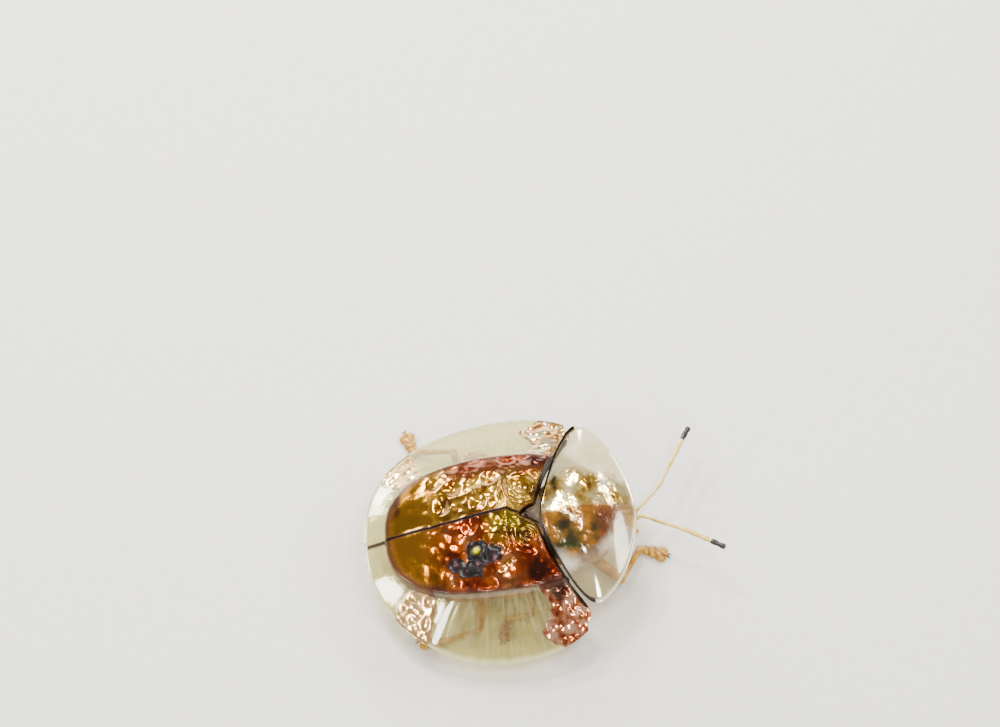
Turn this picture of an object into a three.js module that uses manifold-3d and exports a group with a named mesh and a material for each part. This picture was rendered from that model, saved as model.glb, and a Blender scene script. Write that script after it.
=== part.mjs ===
// Golden tortoise beetle at life size, standing with its legs half hidden under its shell.
// Millimetres, +Z up. The head faces -Y and the beetle's own left side is +X.
import * as THREE from 'three';
import { mergeVertices } from 'three/addons/utils/BufferGeometryUtils.js';
import Module from 'manifold-3d';

const wasm = await Module();
wasm.setup();

// Driving dimensions. "fore" is measured forwards from the middle of the shell, "side" to the
// beetle's left and "up" from the ground.
const GAP = 0.3; // kept between neighbouring parts
const SHELL_THICKNESS = 0.5; // wing cases and neck shield
const HUMP = { fore: 0.1, up: 5.45 }; // the pointed hump on the wing cases
const RIM = { halfWidth: 6.24, tail: -6.8, front: 5.9, squareness: 2.15 }; // outline of the wing cases
const RIM_UP = { side: 1.3, tailRise: 1.2, shoulderRise: 0.95, lowestFore: -1.5, run: 5.2 };
const DISC = { halfWidth: 3.4, tail: -5.7, front: 4.3, squareness: 2.7 }; // the thick domed middle
const DISC_UP = { side: 3.75, tail: 3.2, front: 3.45 };
const DISC_SWELL = { side: 1.5, tail: 1.08, front: 0.6 }; // 1 is a straight slope, more is domed
const DISC_STEP = 0.22; // the disc's edge stands this far above the thin margin
const SHIELD = { halfWidth: 4.55, front: 6.2, tipFore: 4.0, rear: 1.72 }; // the neck shield
const SHIELD_UP = { crown: 4.35, rear: 4.0, front: 3.45, tip: 3.7 };
const BODY_UNDERSIDE = 1.75;
const ABDOMEN = { front: -0.75, tail: -5.75, halfWidth: 3.25 };
const THORAX = { front: 1.35, rear: -0.45, halfWidth: 3.1 };
// The prothorax below the shield, whose top slopes down from the height that it would have at fore 0.
const NECK = { front: 4.6, rear: 1.9, halfWidth: 2.1, underside: 1.65, highest: 3.85, top: 4.35, slope: 0.13 };
const HEAD = { front: 6.15, rear: 4.9, halfWidth: 1.15, top: 2.35, underside: 1.3 };
const EYE = { side: 0.98, fore: 5.45, up: 1.85, halfWidth: 0.34, halfLength: 0.5, halfHeight: 0.42 };
const EYE_GAP = 0.2;
const ANTENNA_RADIUS = 0.25;
const FEMUR_RADIUS = 0.36;
const TIBIA_RADIUS = 0.25;
const TARSUS_HEIGHT = 0.36;
const ANKLE_UP = 0.27;

const place = (side, fore, up) => new THREE.Vector3(side, -fore, up);

// Closed meshes

function closedMesh(points, faces) {
  const positions = points.flatMap((point) => [point.x, point.y, point.z]);
  let volume = 0;
  for (const [a, b, c] of faces) {
    volume += points[a].dot(points[b].clone().cross(points[c]));
  }
  const outward = volume > 0 ? faces : faces.map(([a, b, c]) => [a, c, b]);
  const geometry = new THREE.BufferGeometry();
  geometry.setAttribute('position', new THREE.Float32BufferAttribute(positions, 3));
  geometry.setIndex(outward.flat());
  return geometry;
}

// A plate that hangs a fixed distance below its upper face. upperFace(turn, reach) runs from
// the middle (reach 0) to the edge (reach 1), and turn goes from 0 to 1 along the edge.
function plate(upperFace, spokes, rings, closesOnItself) {
  const columns = closesOnItself ? spokes : spokes + 1;
  const upper = [upperFace(0, 0)];
  for (let ring = 1; ring <= rings; ring += 1) {
    for (let spoke = 0; spoke < columns; spoke += 1) {
      upper.push(upperFace(spoke / spokes, ring / rings));
    }
  }
  const lower = upper.map((point) => point.clone().setZ(point.z - SHELL_THICKNESS));
  const below = upper.length;
  const index = (ring, spoke) => (ring === 0 ? 0 : 1 + (ring - 1) * columns + (spoke % columns));
  const faces = [];
  const onBothFaces = (a, b, c) => faces.push([a, b, c], [a + below, c + below, b + below]);
  const wall = (a, b) => faces.push([b, a, a + below], [b, a + below, b + below]);
  for (let ring = 0; ring < rings; ring += 1) {
    for (let spoke = 0; spoke < spokes; spoke += 1) {
      const outerA = index(ring + 1, spoke);
      const outerB = index(ring + 1, spoke + 1);
      onBothFaces(index(ring, spoke), outerA, outerB);
      if (ring > 0) {
        onBothFaces(index(ring, spoke), outerB, index(ring, spoke + 1));
      }
    }
  }
  for (let spoke = 0; spoke < spokes; spoke += 1) {
    wall(index(rings, spoke), index(rings, spoke + 1));
  }
  if (!closesOnItself) {
    for (let ring = 0; ring < rings; ring += 1) {
      wall(index(ring, 0), index(ring + 1, 0));
      wall(index(ring + 1, spokes), index(ring, spokes));
    }
  }
  return closedMesh([...upper, ...lower], faces);
}

// A skin stretched over rings of points, closed at both ends by a fan.
function loft(rings) {
  const sides = rings[0].length;
  const points = rings.flat();
  const faces = [];
  for (let ring = 0; ring < rings.length - 1; ring += 1) {
    for (let side = 0; side < sides; side += 1) {
      const a = ring * sides + side;
      const b = ring * sides + ((side + 1) % sides);
      faces.push([a, b, b + sides], [a, b + sides, a + sides]);
    }
  }
  const centreOf = (ring) => ring.reduce((sum, p) => sum.add(p), new THREE.Vector3()).divideScalar(sides);
  const last = (rings.length - 1) * sides;
  points.push(centreOf(rings[0]), centreOf(rings.at(-1)));
  for (let side = 0; side < sides; side += 1) {
    const next = (side + 1) % sides;
    faces.push([next, side, points.length - 2], [last + side, last + next, points.length - 1]);
  }
  return closedMesh(points, faces);
}

// An upright ring at one distance fore, rounded like a flattened barrel. topAt gives the height
// of its upper face at each place across.
function bodyRing({ fore, halfWidth, topAt, underside, sides = 20, squareness = 2.4 }) {
  const middle = (topAt(halfWidth, fore) + underside) / 2;
  return Array.from({ length: sides }, (_, step) => {
    const angle = (2 * Math.PI * step) / sides;
    const across = Math.sign(Math.cos(angle)) * Math.abs(Math.cos(angle)) ** (2 / squareness);
    const upward = Math.sign(Math.sin(angle)) * Math.abs(Math.sin(angle)) ** (2 / squareness);
    const side = across * halfWidth;
    const room = upward > 0 ? topAt(side, fore) - middle : middle - underside;
    return place(side, fore, middle + upward * room);
  });
}

// A limb along a curve, with a radius for each part of its length and rounded ends.
function limb(curve, radiusAt, { steps = 6, sides = 8, flatness = 1 } = {}) {
  const rings = [];
  for (let step = 0; step <= steps; step += 1) {
    const along = step / steps;
    const forward = curve.getTangentAt(along);
    const sideways = new THREE.Vector3(0, 0, 1).cross(forward).normalize();
    const upward = forward.clone().cross(sideways);
    const centre = curve.getPointAt(along);
    const radius = radiusAt(along);
    rings.push(Array.from({ length: sides }, (_, k) => {
      const angle = (2 * Math.PI * (k + 0.5)) / sides;
      return centre.clone()
        .addScaledVector(sideways, radius * Math.cos(angle))
        .addScaledVector(upward, radius * flatness * Math.sin(angle));
    }));
  }
  return loft(rings);
}

const straight = (from, to) => new THREE.LineCurve3(from, to);

function ellipsoid(centre, halfWidth, halfLength, halfHeight, detail = 12) {
  const sphere = new THREE.SphereGeometry(1, detail, Math.round(detail * 0.75));
  return sphere.scale(halfWidth, halfLength, halfHeight).translate(centre.x, centre.y, centre.z);
}

// Joining and cutting

function toSolid(geometry) {
  const bare = geometry.clone();
  bare.deleteAttribute('normal');
  bare.deleteAttribute('uv');
  const merged = mergeVertices(bare, 1e-5);
  return new wasm.Manifold(new wasm.Mesh({
    numProp: 3,
    vertProperties: merged.attributes.position.array,
    triVerts: new Uint32Array(merged.index.array),
  }));
}

function toGeometry(solid) {
  const largest = solid.decompose().sort((a, b) => b.volume() - a.volume())[0];
  const { vertProperties, triVerts } = largest.getMesh();
  const geometry = new THREE.BufferGeometry();
  geometry.setAttribute('position', new THREE.BufferAttribute(vertProperties, 3));
  geometry.setIndex(new THREE.BufferAttribute(triVerts, 1));
  return geometry;
}

const join = (pieces) => pieces.map(toSolid).reduce((whole, piece) => whole.add(piece));

// Everything below the ground is cut away, so that a foot stands on a flat.
const belowGround = toSolid(new THREE.BoxGeometry(40, 40, 2).translate(0, 0, -1));

// The wing cases

const blend = (sizes, fromFront) => {
  const alongBody = fromFront > 0 ? sizes.front : sizes.tail;
  return alongBody * fromFront ** 2 + sizes.side * (1 - fromFront ** 2);
};

// 1 on the outline, less inside it.
function outlineReach(outline, side, fore) {
  const ahead = fore - HUMP.fore;
  const length = ahead > 0 ? outline.front - HUMP.fore : HUMP.fore - outline.tail;
  const power = outline.squareness;
  const sum = Math.abs(side / outline.halfWidth) ** power + Math.abs(ahead / length) ** power;
  return sum ** (1 / power);
}

function rimUp(fore) {
  const away = (fore - RIM_UP.lowestFore) / RIM_UP.run;
  const rise = away < 0 ? RIM_UP.tailRise : RIM_UP.shoulderRise;
  return RIM_UP.side + rise * Math.min(away ** 2, 1.2);
}

// Height of the wing cases: domed from the hump to the disc's edge, then a thin sloping margin.
function shellTop(side, fore) {
  const distance = Math.hypot(side, fore - HUMP.fore);
  if (distance < 1e-6) {
    return HUMP.up;
  }
  const fromFront = (fore - HUMP.fore) / distance;
  const edgeUp = blend(DISC_UP, fromFront);
  const reach = outlineReach(DISC, side, fore);
  if (reach <= 1) {
    return edgeUp + (HUMP.up - edgeUp) * (1 - reach ** blend(DISC_SWELL, fromFront));
  }
  const toRim = 1 / outlineReach(RIM, side, fore);
  const across = Math.min((1 - 1 / reach) / (toRim - 1 / reach), 1);
  const step = DISC_STEP * Math.min(across / 0.06, 1);
  const marginUp = edgeUp - step;
  return marginUp + (rimUp(fore * toRim) - marginUp) * across ** 0.92;
}

// Outline of the left wing case from the scutellum round the shoulder and the rim to the tail.
const SEAM = GAP / 2;
const SCUTELLUM = { front: SHIELD.rear - GAP, tip: 0.7, halfWidth: 0.62 };

function wingCaseOutline() {
  const shoulder = { side: 4.95, fore: 3.35 };
  const outline = new THREE.Path();
  outline.moveTo(SEAM, SCUTELLUM.tip - GAP);
  outline.lineTo(SCUTELLUM.halfWidth + GAP, SCUTELLUM.front + 0.1);
  outline.lineTo(1.4, 1.85);
  outline.bezierCurveTo(2.4, 2.2, 3.2, 2.6, 4.0, 3.25);
  outline.bezierCurveTo(4.4, 3.6, 4.8, 3.65, shoulder.side, shoulder.fore);
  const rimSteps = 60;
  const start = Math.asin((shoulder.fore - HUMP.fore) / (RIM.front - HUMP.fore));
  for (let step = 1; step < rimSteps; step += 1) {
    const angle = start - ((start + Math.PI / 2) * step) / rimSteps;
    const ahead = Math.sign(angle) * Math.abs(Math.sin(angle)) ** (2 / RIM.squareness);
    const length = angle > 0 ? RIM.front - HUMP.fore : HUMP.fore - RIM.tail;
    const across = Math.cos(angle) ** (2 / RIM.squareness);
    outline.lineTo(Math.max(RIM.halfWidth * across, SEAM + 0.25), HUMP.fore + length * ahead);
  }
  outline.lineTo(SEAM, RIM.tail + 0.15);
  return outline;
}

function wingCase(mirror) {
  const outline = wingCaseOutline();
  const discRings = 0.62; // share of the rings that lie on the disc
  return plate((turn, reach) => {
    const edge = outline.getPointAt(turn);
    const discEdge = Math.min(1 / outlineReach(DISC, edge.x, edge.y), 0.9);
    const shaped = reach < discRings
      ? (reach / discRings) * discEdge
      : discEdge + ((reach - discRings) / (1 - discRings)) * (1 - discEdge);
    const side = SEAM + (edge.x - SEAM) * shaped;
    const fore = HUMP.fore + (edge.y - HUMP.fore) * shaped;
    return place(mirror * side, fore, shellTop(side, fore));
  }, 36, 11, false);
}

function scutellum() {
  const { front, tip, halfWidth } = SCUTELLUM;
  const outline = new THREE.Path([
    new THREE.Vector2(halfWidth, front),
    new THREE.Vector2(0, tip),
    new THREE.Vector2(-halfWidth, front),
    new THREE.Vector2(halfWidth, front),
  ]);
  const middle = front - 0.25;
  return plate((turn, reach) => {
    const edge = outline.getPointAt(turn);
    const side = edge.x * reach;
    const fore = middle + (edge.y - middle) * reach;
    return place(side, fore, shellTop(side, fore) - 0.05);
  }, 18, 2, true);
}

// The neck shield with the prothorax under it

function shieldOutline() {
  const { halfWidth, front, tipFore, rear } = SHIELD;
  const right = [[0, front], [0.97, 6.1], [2.24, 5.75], [3.4, 5.2], [4.2, 4.55], [halfWidth, tipFore],
    [4.35, 3.5], [3.44, 2.88], [2.27, 2.36], [1.3, 2.02], [0.6, rear + 0.08], [0, rear]];
  const left = right.slice(1, -1).reverse().map(([side, fore]) => [-side, fore]);
  const points = [...right, ...left].map(([side, fore]) => new THREE.Vector3(side, fore, 0));
  return new THREE.CatmullRomCurve3(points, true, 'centripetal');
}

function shieldEdgeUp(side, fore) {
  const outward = Math.min(Math.abs(side) / SHIELD.halfWidth, 1);
  if (fore > SHIELD.tipFore) {
    return SHIELD_UP.front + (SHIELD_UP.tip - SHIELD_UP.front) * outward ** 2;
  }
  return SHIELD_UP.tip + (SHIELD_UP.rear - SHIELD_UP.tip) * (1 - outward ** 2) ** 2;
}

function shield() {
  const outline = shieldOutline();
  const middle = 3.5;
  return plate((turn, reach) => {
    const edge = outline.getPointAt(turn);
    const edgeUp = shieldEdgeUp(edge.x, edge.y);
    const up = edgeUp + (SHIELD_UP.crown - edgeUp) * (1 - reach ** 2.1);
    return place(edge.x * reach, middle + (edge.y - middle) * reach, up);
  }, 40, 6, true);
}

function prothorax() {
  const { front, rear, halfWidth, underside } = NECK;
  const middle = (front + rear) / 2;
  const rings = [];
  for (let step = 0; step <= 6; step += 1) {
    const fore = rear + ((front - rear) * step) / 6;
    const narrowing = 1 - 0.22 * ((fore - middle) / (front - middle)) ** 4;
    const top = Math.min(NECK.highest, NECK.top - NECK.slope * fore);
    rings.push(bodyRing({
      fore, halfWidth: halfWidth * narrowing, topAt: () => top, underside, sides: 18,
    }));
  }
  return loft(rings);
}

// The body under the wing cases

const roomUnderShell = (side, fore) => shellTop(side, fore) - SHELL_THICKNESS - GAP;

function thorax() {
  const { front, rear, halfWidth } = THORAX;
  const rings = [];
  for (let step = 0; step <= 7; step += 1) {
    const fore = rear + ((front - rear) * step) / 7;
    const width = halfWidth * (1 - 0.3 * Math.max((fore - 0.4) / (front - 0.4), 0) ** 2);
    rings.push(bodyRing({
      fore, halfWidth: width, topAt: roomUnderShell, underside: BODY_UNDERSIDE - 0.1,
    }));
  }
  return loft(rings);
}

// The abdomen's underside is stepped into its five belly plates.
function abdomen() {
  const { front, tail, halfWidth } = ABDOMEN;
  const plates = 5;
  const plateStep = 0.1;
  const rings = [];
  for (let number = 0; number < plates; number += 1) {
    for (const within of [0.02, 0.5, 0.98]) {
      const back = ((number + within) / plates) ** 0.92;
      const fore = front + (tail - front) * back;
      const width = halfWidth * (1 - back ** 3.2) ** 0.5 + 0.1;
      const underside = BODY_UNDERSIDE + plateStep * within;
      rings.push(bodyRing({ fore, halfWidth: width, topAt: roomUnderShell, underside }));
    }
  }
  return loft(rings);
}

// Head, eyes and antennae

function head() {
  const { front, rear, halfWidth, top, underside } = HEAD;
  const length = front - rear;
  const shape = [[0, 0.72, 0.1, 0.3], [0.2, 0.95, 0.02, 0.08], [0.5, 1, 0, 0], [0.75, 0.85, 0.02, 0.05],
    [0.92, 0.6, 0.08, 0.2], [1, 0.4, 0.2, 0.42]];
  const skull = loft(shape.map(([along, width, drop, lift]) => bodyRing({
    fore: rear + length * along,
    halfWidth: halfWidth * width,
    topAt: () => top - drop,
    underside: underside + lift,
    sides: 16,
    squareness: 2.2,
  })));
  const upperLip = ellipsoid(place(0, front - 0.35, underside + 0.12), 0.36, 0.3, 0.24, 10);
  const jaws = [-1, 1].map((sign) => ellipsoid(
    place(0.24 * sign, front - 0.55, underside + 0.06), 0.26, 0.36, 0.26, 10));
  const sockets = [-1, 1].map((sign) => toSolid(ellipsoid(
    place(EYE.side * sign, EYE.fore, EYE.up),
    EYE.halfWidth + EYE_GAP, EYE.halfLength + EYE_GAP, EYE.halfHeight + EYE_GAP)));
  const joined = join([skull, upperLip, ...jaws]);
  return toGeometry(sockets.reduce((left, socket) => left.subtract(socket), joined));
}

const eye = (sign) => ellipsoid(
  place(EYE.side * sign, EYE.fore, EYE.up), EYE.halfWidth, EYE.halfLength, EYE.halfHeight);

// The feelers' bends, base first.
const ANTENNA_BENDS = {
  left: [[0.46, 6.45, 2.12], [1.45, 7.55, 2.5], [2.6, 8.3, 2.62], [3.64, 8.83, 2.62], [4.32, 9.32, 2.6]],
  right: [[-0.42, 6.45, 2.12], [-0.62, 7.3, 2.4], [-0.95, 8.45, 2.6], [-1.67, 9.63, 2.62], [-2.18, 10.24, 2.6]],
};

function antenna(bends) {
  const curve = new THREE.CatmullRomCurve3(bends.map(([side, fore, up]) => place(side, fore, up)));
  const radiusAt = (along) => ANTENNA_RADIUS * (along > 0.9 ? 1 - 4.5 * (along - 0.9) : 0.92 + 0.08 * along);
  return limb(curve, radiusAt, { steps: 18 });
}

// Legs: hip, knee, ankle and toe of each, as the beetle stands.
const STANCE = {
  leg_front_left: [[0.62, 3.3, 1.0], [2.7, 3.7, 1.1], [3.0, 4.35, 0.42], [3.25, 5.45, 0.2]],
  leg_front_right: [[-0.62, 3.3, 1.0], [-2.55, 5.2, 1.0], [-0.7, 6.3, 0.42], [-1.24, 7.59, 0.2]],
  leg_middle_left: [[1.25, 0.9, 1.02], [4.25, 0.9, 1.0], [4.9, -0.35, 0.42], [5.1, -1.6, 0.2]],
  leg_middle_right: [[-1.25, 0.9, 1.02], [-3.75, 0.75, 1.0], [-3.5, -0.45, 0.42], [-4.65, -0.75, 0.2]],
  leg_hind_left: [[1.25, -1.15, 1.02], [5.2, -2.15, 0.8], [5.62, -4.05, 0.42], [6.95, -4.45, 0.2]],
  leg_hind_right: [[-1.25, -1.15, 1.02], [-4.2, -1.75, 1.0], [-4.3, -3.5, 0.42], [-4.1, -4.8, 0.2]],
};
const PAD_LOBES = [ // share of the foot's length where each lobe lies, and its half width
  { from: 0, to: 0.3, halfWidth: 0.24 },
  { from: 0.22, to: 0.55, halfWidth: 0.28 },
  { from: 0.48, to: 0.92, halfWidth: 0.36 },
  { from: 0.82, to: 1, halfWidth: 0.18 },
];

function leg([hip, knee, ankle, toe]) {
  const hipPlace = place(...hip);
  const kneePlace = place(...knee);
  const anklePlace = place(...ankle);
  const toePlace = place(...toe);
  const coxa = ellipsoid(hipPlace, 0.48, 0.42, 0.35, 8);
  const femurRadius = (along) => FEMUR_RADIUS * (0.62 + 0.38 * Math.sin(Math.PI * along ** 0.85));
  const femur = limb(straight(hipPlace, kneePlace), femurRadius, { flatness: 0.85 });
  const tibiaRadius = (along) => TIBIA_RADIUS * (0.9 + 0.18 * along);
  const kneeKnob = ellipsoid(kneePlace, 0.27, 0.27, 0.27, 8);
  const ankleKnob = ellipsoid(anklePlace.clone().setZ(ANKLE_UP), 0.26, 0.26, 0.26, 8);
  const tibia = limb(straight(kneePlace, anklePlace), tibiaRadius, { steps: 3 });
  const floorLevel = (share) => anklePlace.clone().lerp(toePlace, share).setZ(TARSUS_HEIGHT / 2 - 0.04);
  const lobes = PAD_LOBES.map(({ from, to, halfWidth }) => {
    const lobeRadius = (along) => halfWidth * (0.55 + 0.45 * Math.sin(Math.PI * (0.15 + 0.7 * along)));
    return limb(straight(floorLevel(from), floorLevel(to)), lobeRadius, {
      steps: 3, flatness: TARSUS_HEIGHT / 2 / halfWidth,
    });
  });
  return toGeometry(join([coxa, femur, kneeKnob, tibia, ankleKnob, ...lobes]).subtract(belowGround));
}

// Colours and finishes

const chitin = (color, roughness, metalness = 0) => new THREE.MeshStandardMaterial({
  color, roughness, metalness,
});
const goldShell = chitin(0xb8862a, 0.25, 0.6);
const copperShell = chitin(0xb0602a, 0.25, 0.6);
const goldShield = chitin(0xc9a54a, 0.22, 0.5);
const darkShell = chitin(0x6b3a1c, 0.35);
const amberSkin = chitin(0xb9822f, 0.45);
const paleYellow = chitin(0xcbb45f, 0.45);
const blackEye = chitin(0x1a120c, 0.2);

// The beetle

const beetle = new THREE.Group();

function add(name, geometry, material) {
  const mesh = new THREE.Mesh(geometry, material);
  mesh.name = name;
  beetle.add(mesh);
}

add('elytron_left', wingCase(1), goldShell);
add('elytron_right', wingCase(-1), copperShell);
add('scutellum', scutellum(), darkShell);
add('pronotum', toGeometry(join([shield(), prothorax()])), goldShield);
add('thorax', thorax(), amberSkin);
add('abdomen', abdomen(), amberSkin);
add('head', head(), amberSkin);
add('eye_left', eye(1), blackEye);
add('eye_right', eye(-1), blackEye);
add('antenna_left', antenna(ANTENNA_BENDS.left), paleYellow);
add('antenna_right', antenna(ANTENNA_BENDS.right), paleYellow);
for (const [name, joints] of Object.entries(STANCE)) {
  add(name, leg(joints), amberSkin);
}

// The origin goes to the ground under the middle of the whole beetle.
const box = new THREE.Box3().setFromObject(beetle);
const middle = box.getCenter(new THREE.Vector3());
beetle.position.set(-middle.x, -middle.y, -box.min.z);

export default beetle;
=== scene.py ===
# Looks of a golden tortoise beetle at life size: gold and copper wing cases with clear margins,
# a glassy neck shield, amber legs and straw-coloured feelers. Metres, +Z up, the head faces -Y.
import functools
import math
import random

import bpy
from mathutils import Matrix, Vector, noise


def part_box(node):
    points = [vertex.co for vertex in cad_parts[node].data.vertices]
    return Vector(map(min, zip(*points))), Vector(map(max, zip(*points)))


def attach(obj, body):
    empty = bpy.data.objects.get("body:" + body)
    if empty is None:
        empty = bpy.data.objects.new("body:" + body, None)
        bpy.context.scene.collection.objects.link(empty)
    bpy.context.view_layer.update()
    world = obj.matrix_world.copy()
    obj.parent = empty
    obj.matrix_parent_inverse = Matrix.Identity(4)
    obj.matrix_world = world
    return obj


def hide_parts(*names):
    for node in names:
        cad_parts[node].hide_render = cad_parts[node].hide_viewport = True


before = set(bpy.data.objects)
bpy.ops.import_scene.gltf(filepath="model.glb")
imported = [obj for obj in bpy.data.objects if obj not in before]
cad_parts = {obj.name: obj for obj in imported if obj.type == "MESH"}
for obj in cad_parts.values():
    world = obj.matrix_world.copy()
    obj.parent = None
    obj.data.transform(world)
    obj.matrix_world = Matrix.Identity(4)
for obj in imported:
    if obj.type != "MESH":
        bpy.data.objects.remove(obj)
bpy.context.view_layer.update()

# Sizes in millimetres. "side" is to the beetle's left, "fore" is forwards from the middle of the
# wing cases and "up" is from the ground.
MM = 0.001
SHIELD_FRONT = 6.2
HUMP_FORE, HUMP_UP = 0.1, 5.38
RIM = {"half_width": 6.21, "tail": -6.74, "front": 5.9, "squareness": 2.15}
RIM_UP = {"side": 1.3, "tail_rise": 1.2, "shoulder_rise": 0.95, "lowest_fore": -1.5, "run": 5.2}
DISC = {"half_width": 3.4, "tail": -5.7, "front": 4.3, "squareness": 2.7}
DISC_UP = {"side": 3.75, "tail": 3.2, "front": 3.45}
DISC_SWELL = {"side": 1.5, "tail": 1.08, "front": 0.6}
DISC_STEP = 0.22
SHIELD_HALF_WIDTH, SHIELD_TIP_FORE, SHIELD_REAR, SHIELD_MIDDLE = 4.55, 4.0, 1.68, 3.5
SHIELD_UP = {"crown": 4.3, "rear": 4.0, "front": 3.4, "tip": 3.65}
NECK = {"front": 4.75, "rear": 1.7, "half_width": 2.1, "underside": 1.68,
        "highest": 4.0, "top": 4.45, "slope": 0.13}  # the top at fore 0, and its slope forwards
BODY = {"front": 1.75, "tail": -5.75, "half_width": 3.2, "underside": 1.72, "tail_rise": 0.72}
BELLY_PLATE_EDGES = [-0.9, -2.35, -3.3, -4.1, -4.9]
CUTICLE = 0.12
BASE_LIP, LIP_RUN = 0.42, 0.34  # the wing cases turn down at their front edge, behind the shield
SEAM = 0.015  # half the gap between the wing cases
MERGE, FINE_MERGE = 0.003, 0.002  # points that are closer than this are one point

left_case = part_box("elytron_left")
right_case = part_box("elytron_right")
MIDLINE = (left_case[0][0] + right_case[1][0]) / 2
FRONT_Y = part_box("pronotum")[0][1]


def place(side, fore, up):
    """The point in the frame for a place on the beetle."""
    return Vector((MIDLINE + side * MM, FRONT_Y + (SHIELD_FRONT - fore) * MM, up * MM))


def beetle_place(point):
    """Side and fore on the beetle, in millimetres, of a point in the frame."""
    return (point[0] - MIDLINE) / MM, SHIELD_FRONT - (point[1] - FRONT_Y) / MM


def ease(low, high, value):
    """0 at low, 1 at high and a smooth rise between."""
    share = min(max((value - low) / (high - low), 0.0), 1.0)
    return share * share * (3 - 2 * share)


def lump(value, width):
    """1 where value is 0, falling away smoothly on both sides."""
    return math.exp(-((value / width) ** 2))


def cloud(side, fore, size, layer=0.0):
    """Smooth unevenness between about -1 and 1, with lumps of the given size."""
    return noise.noise(Vector((side / size, fore / size, layer)))


def inside_spots(side, fore, spots):
    """Millimetres inside the nearest of some oval spots, and below 0 outside them all."""
    depths = [
        min(half_side, half_fore) * (1 - math.hypot((side - x) / half_side, (fore - y) / half_fore))
        for x, y, half_side, half_fore in spots
    ]
    return max(depths)


# Shape of the wing cases


def round_the_body(sizes, from_front):
    """A size that goes smoothly from the front to the side and on to the tail."""
    along = sizes["front"] if from_front > 0 else sizes["tail"]
    return along * from_front**2 + sizes["side"] * (1 - from_front**2)


def outline_reach(outline, side, fore):
    """1 on the outline and less inside it."""
    ahead = fore - HUMP_FORE
    length = outline["front"] - HUMP_FORE if ahead > 0 else HUMP_FORE - outline["tail"]
    power = outline["squareness"]
    total = abs(side / outline["half_width"]) ** power + abs(ahead / length) ** power
    return total ** (1 / power)


def rim_up(fore):
    """Height of the rim, which rises towards the tail and the shoulders."""
    away = (fore - RIM_UP["lowest_fore"]) / RIM_UP["run"]
    rise = RIM_UP["tail_rise"] if away < 0 else RIM_UP["shoulder_rise"]
    return RIM_UP["side"] + rise * min(away**2, 1.2)


def inside_disc(side, fore):
    """Millimetres inside the disc's edge, and below 0 outside it."""
    return DISC["half_width"] * (1 - outline_reach(DISC, side, fore))


def share_across_margin(side, fore):
    """0 at the disc's edge and 1 at the rim."""
    reach = max(outline_reach(DISC, side, fore), 1.0001)
    to_rim = 1 / outline_reach(RIM, side, fore)
    return min(max((1 - 1 / reach) / (to_rim - 1 / reach), 0.0), 1.0)


def shell_up(side, fore):
    """Height of the wing cases without their relief."""
    distance = math.hypot(side, fore - HUMP_FORE)
    if distance < 1e-6:
        return HUMP_UP
    from_front = (fore - HUMP_FORE) / distance
    edge_up = round_the_body(DISC_UP, from_front)
    reach = outline_reach(DISC, side, fore)
    if reach <= 1:
        return edge_up + (HUMP_UP - edge_up) * (1 - reach ** round_the_body(DISC_SWELL, from_front))
    to_rim = 1 / outline_reach(RIM, side, fore)
    across = share_across_margin(side, fore)
    margin_up = edge_up - DISC_STEP * ease(0, 0.07, across)
    return margin_up + (rim_up(fore * to_rim) - margin_up) * across**0.92


# Degrees from the tail at the disc's edge, and what the way to the rim adds.
REAR_PATCH = {"middle": 33.6, "turn": 6.8, "half_width": 4.8, "widening": 3.2, "bulge": 1.5}
SHOULDER_PATCH_REAR = 1.4


def rear_patch(side, fore):
    """Millimetres inside the opaque patch at each rear corner, which widens towards the rim."""
    from_tail = math.degrees(math.atan2(abs(side), HUMP_FORE - fore))
    across = share_across_margin(side, fore)
    middle = REAR_PATCH["middle"] + REAR_PATCH["turn"] * across
    half_width = REAR_PATCH["half_width"] + REAR_PATCH["widening"] * across
    half_width += REAR_PATCH["bulge"] * math.sin(math.pi * across)
    inside = math.radians(half_width - abs(from_tail - middle))
    return inside * math.hypot(side, fore - HUMP_FORE)


def shoulder_patch(side, fore):
    """Millimetres inside the opaque patch at each shoulder, which has a wavy rear edge."""
    out = abs(side)
    wave = 0.3 * math.cos(2.6 * (out - 4.2)) + 1.3 * max(out - 5.2, 0)
    return fore - SHOULDER_PATCH_REAR - wave


def patch(side, fore):
    """Millimetres inside the opaque patches, and 1 on the disc."""
    if outline_reach(DISC, side, fore) < 0.9:
        return 1.0
    return max(rear_patch(side, fore), shoulder_patch(side, fore))


# The yellow-green colour at GLINT is a painted highlight; the wing case also swells a little there.
# Each spot: side, fore, half width and half length.
GLINT = (-1.61, -1.46, 0.19, 0.23)
DARK_SPOT_OVALS = [(-1.65, -1.45, 0.48, 0.56), (-2.08, -2.5, 0.34, 0.5), (-2.42, -1.8, 0.36, 0.62),
              (-1.78, -0.62, 0.34, 0.44), (-2.12, -1.35, 0.32, 0.7)]
STAIN_SPOTS = [(2.15, -5.15, 1.0, 0.34), (-2.75, 1.35, 0.55, 0.5), (-3.45, 2.15, 0.5, 0.45),
               (-1.15, 0.45, 0.18, 0.5), (2.95, 1.75, 0.35, 0.5), (-2.9, -3.4, 0.22, 0.4),
               (0.95, 1.55, 0.2, 0.3)]
RINGED_DIMPLES = [(1.32, 0.95), (-1.2, 1.0)]
RINGED_RADIUS, RINGED_DEPTH, RING_WIDTH, RING_HEIGHT = 0.82, 0.17, 0.27, 0.018
RAGGED = 0.16  # how uneven the edges of scar and stains are
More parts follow.
